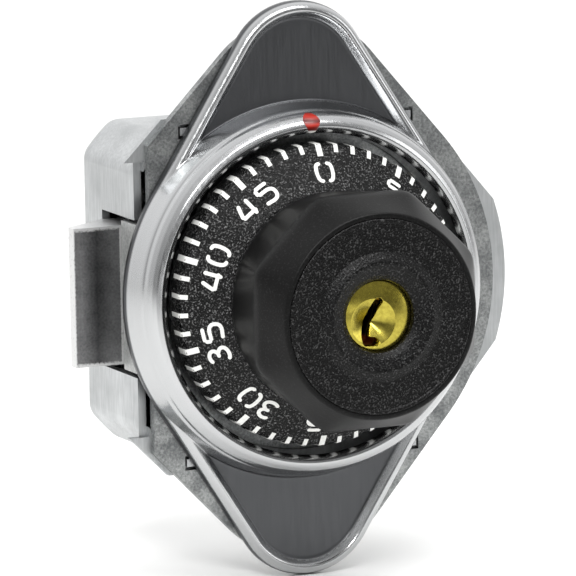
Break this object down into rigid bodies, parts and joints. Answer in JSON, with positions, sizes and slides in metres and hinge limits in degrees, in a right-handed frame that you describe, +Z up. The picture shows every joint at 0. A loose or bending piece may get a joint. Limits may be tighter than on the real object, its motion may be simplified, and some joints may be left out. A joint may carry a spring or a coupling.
{
  "type": "built-in combination lock",
  "caption": "Built-in locker combination lock: numbered dial with a flared grip and key cylinder, pressed ring bezel with two lobes, closed case and sprung bolt at the left.",
  "frame": {"origin": "on the dial's axis, in the front face of the mounting plate, midway between the two door screws", "axes": "+Z up, from the lower door screw to the upper one; the dial faces -Y and the case lies behind at +Y; the bolt leaves towards -X"},
  "size_m": [0.0715, 0.0579, 0.0918],
  "materials": {
    "zinc_plate": "zinc-plated steel, satin with a mottled sheen",
    "bezel_steel": "satin stainless steel, polished on the crown",
    "post_steel": "turned steel",
    "red_paint": "red enamel",
    "case_steel": "drawn steel, satin",
    "black_plastic": "fine-grained black, white filled marks",
    "cap_black": "black with a pebbled field",
    "cylinder_brass": "die-cast, satin",
    "plug_brass": "turned brass",
    "spring_steel": "drawn wire and strip",
    "bolt_steel": "dark sintered steel, brushed face",
    "spindle_steel": "turned steel",
    "bushing_brass": "turned brass",
    "wheel_brass": "stamped brass",
    "spacer_nylon": "moulded, satin"
  },
  "bodies": {
    "housing": {"mounting_plate": "zinc_plate", "bezel": "bezel_steel", "bezel_post_upper": "post_steel", "bezel_post_lower": "post_steel", "index_pointer": "red_paint", "case": "case_steel", "bolt_guide": "zinc_plate", "spindle_bushing": "bushing_brass", "dial_washer": "spring_steel", "wheel_spacers": "spacer_nylon", "inner_frame": "zinc_plate", "standoffs": "post_steel"},
    "dial_group": {"dial": "black_plastic", "knob_cap": "cap_black", "cylinder_shell": "cylinder_brass", "driver_pins": "plug_brass", "pin_springs": "spring_steel", "spindle": "spindle_steel", "spindle_clip": "spring_steel", "slide_keeper": "zinc_plate", "driver_cam": "zinc_plate"},
    "plug_group": {"key_plug": "plug_brass", "key_pins": "plug_brass", "tailpiece": "zinc_plate"},
    "slide_group": {"key_slide": "bolt_steel"},
    "wheel_1_group": {"wheel_1": "wheel_brass"},
    "wheel_2_group": {"wheel_2": "wheel_brass"},
    "bolt_group": {"bolt": "bolt_steel", "lever_pivot": "post_steel", "lever_spring": "spring_steel", "bolt_spring_upper": "spring_steel", "bolt_spring_lower": "spring_steel"},
    "lever_group": {"fence_lever": "zinc_plate"}
  },
  "joints": [
    {"name": "dial_turn", "type": "hinge", "parent": "housing", "child": "dial_group", "pos_m": [0, 0, 0], "axis": [0, 1, 0], "continuous": true},
    {"name": "wheel_1_turn", "type": "hinge", "parent": "housing", "child": "wheel_1_group", "pos_m": [0, 0, 0], "axis": [0, 1, 0], "continuous": true},
    {"name": "wheel_2_turn", "type": "hinge", "parent": "housing", "child": "wheel_2_group", "pos_m": [0, 0, 0], "axis": [0, 1, 0], "continuous": true},
    {"name": "plug_turn", "type": "hinge", "parent": "dial_group", "child": "plug_group", "pos_m": [0, 0, 0], "axis": [0, 1, 0], "range_deg": [0, 90]},
    {"name": "key_slide_out", "type": "slide", "parent": "dial_group", "child": "slide_group", "axis": [1, 0, 0], "range_m": [0, 0.00241]},
    {"name": "bolt_slide", "type": "slide", "parent": "housing", "child": "bolt_group", "axis": [1, 0, 0], "range_m": [0, 0.0078], "stiffness_N_per_m": 350, "springref_m": -0.006, "deforming": ["bolt_spring_upper", "bolt_spring_lower"]},
    {"name": "lever_lift", "type": "hinge", "parent": "bolt_group", "child": "lever_group", "pos_m": [-0.0137, 0.0088, 0.0163], "axis": [0, -1, 0], "range_deg": [0, 3], "stiffness_Nm_per_rad": 0.05, "springref_deg": -11.46, "deforming": ["lever_spring"]}
  ],
  "couplings": [
    {"joint": "wheel_1_turn", "follows": "dial_turn", "ratio": 1},
    {"joint": "wheel_2_turn", "follows": "dial_turn", "ratio": 1},
    {"joint": "key_slide_out", "follows": "plug_turn", "m_per_rad": 0.00153}
  ]
}
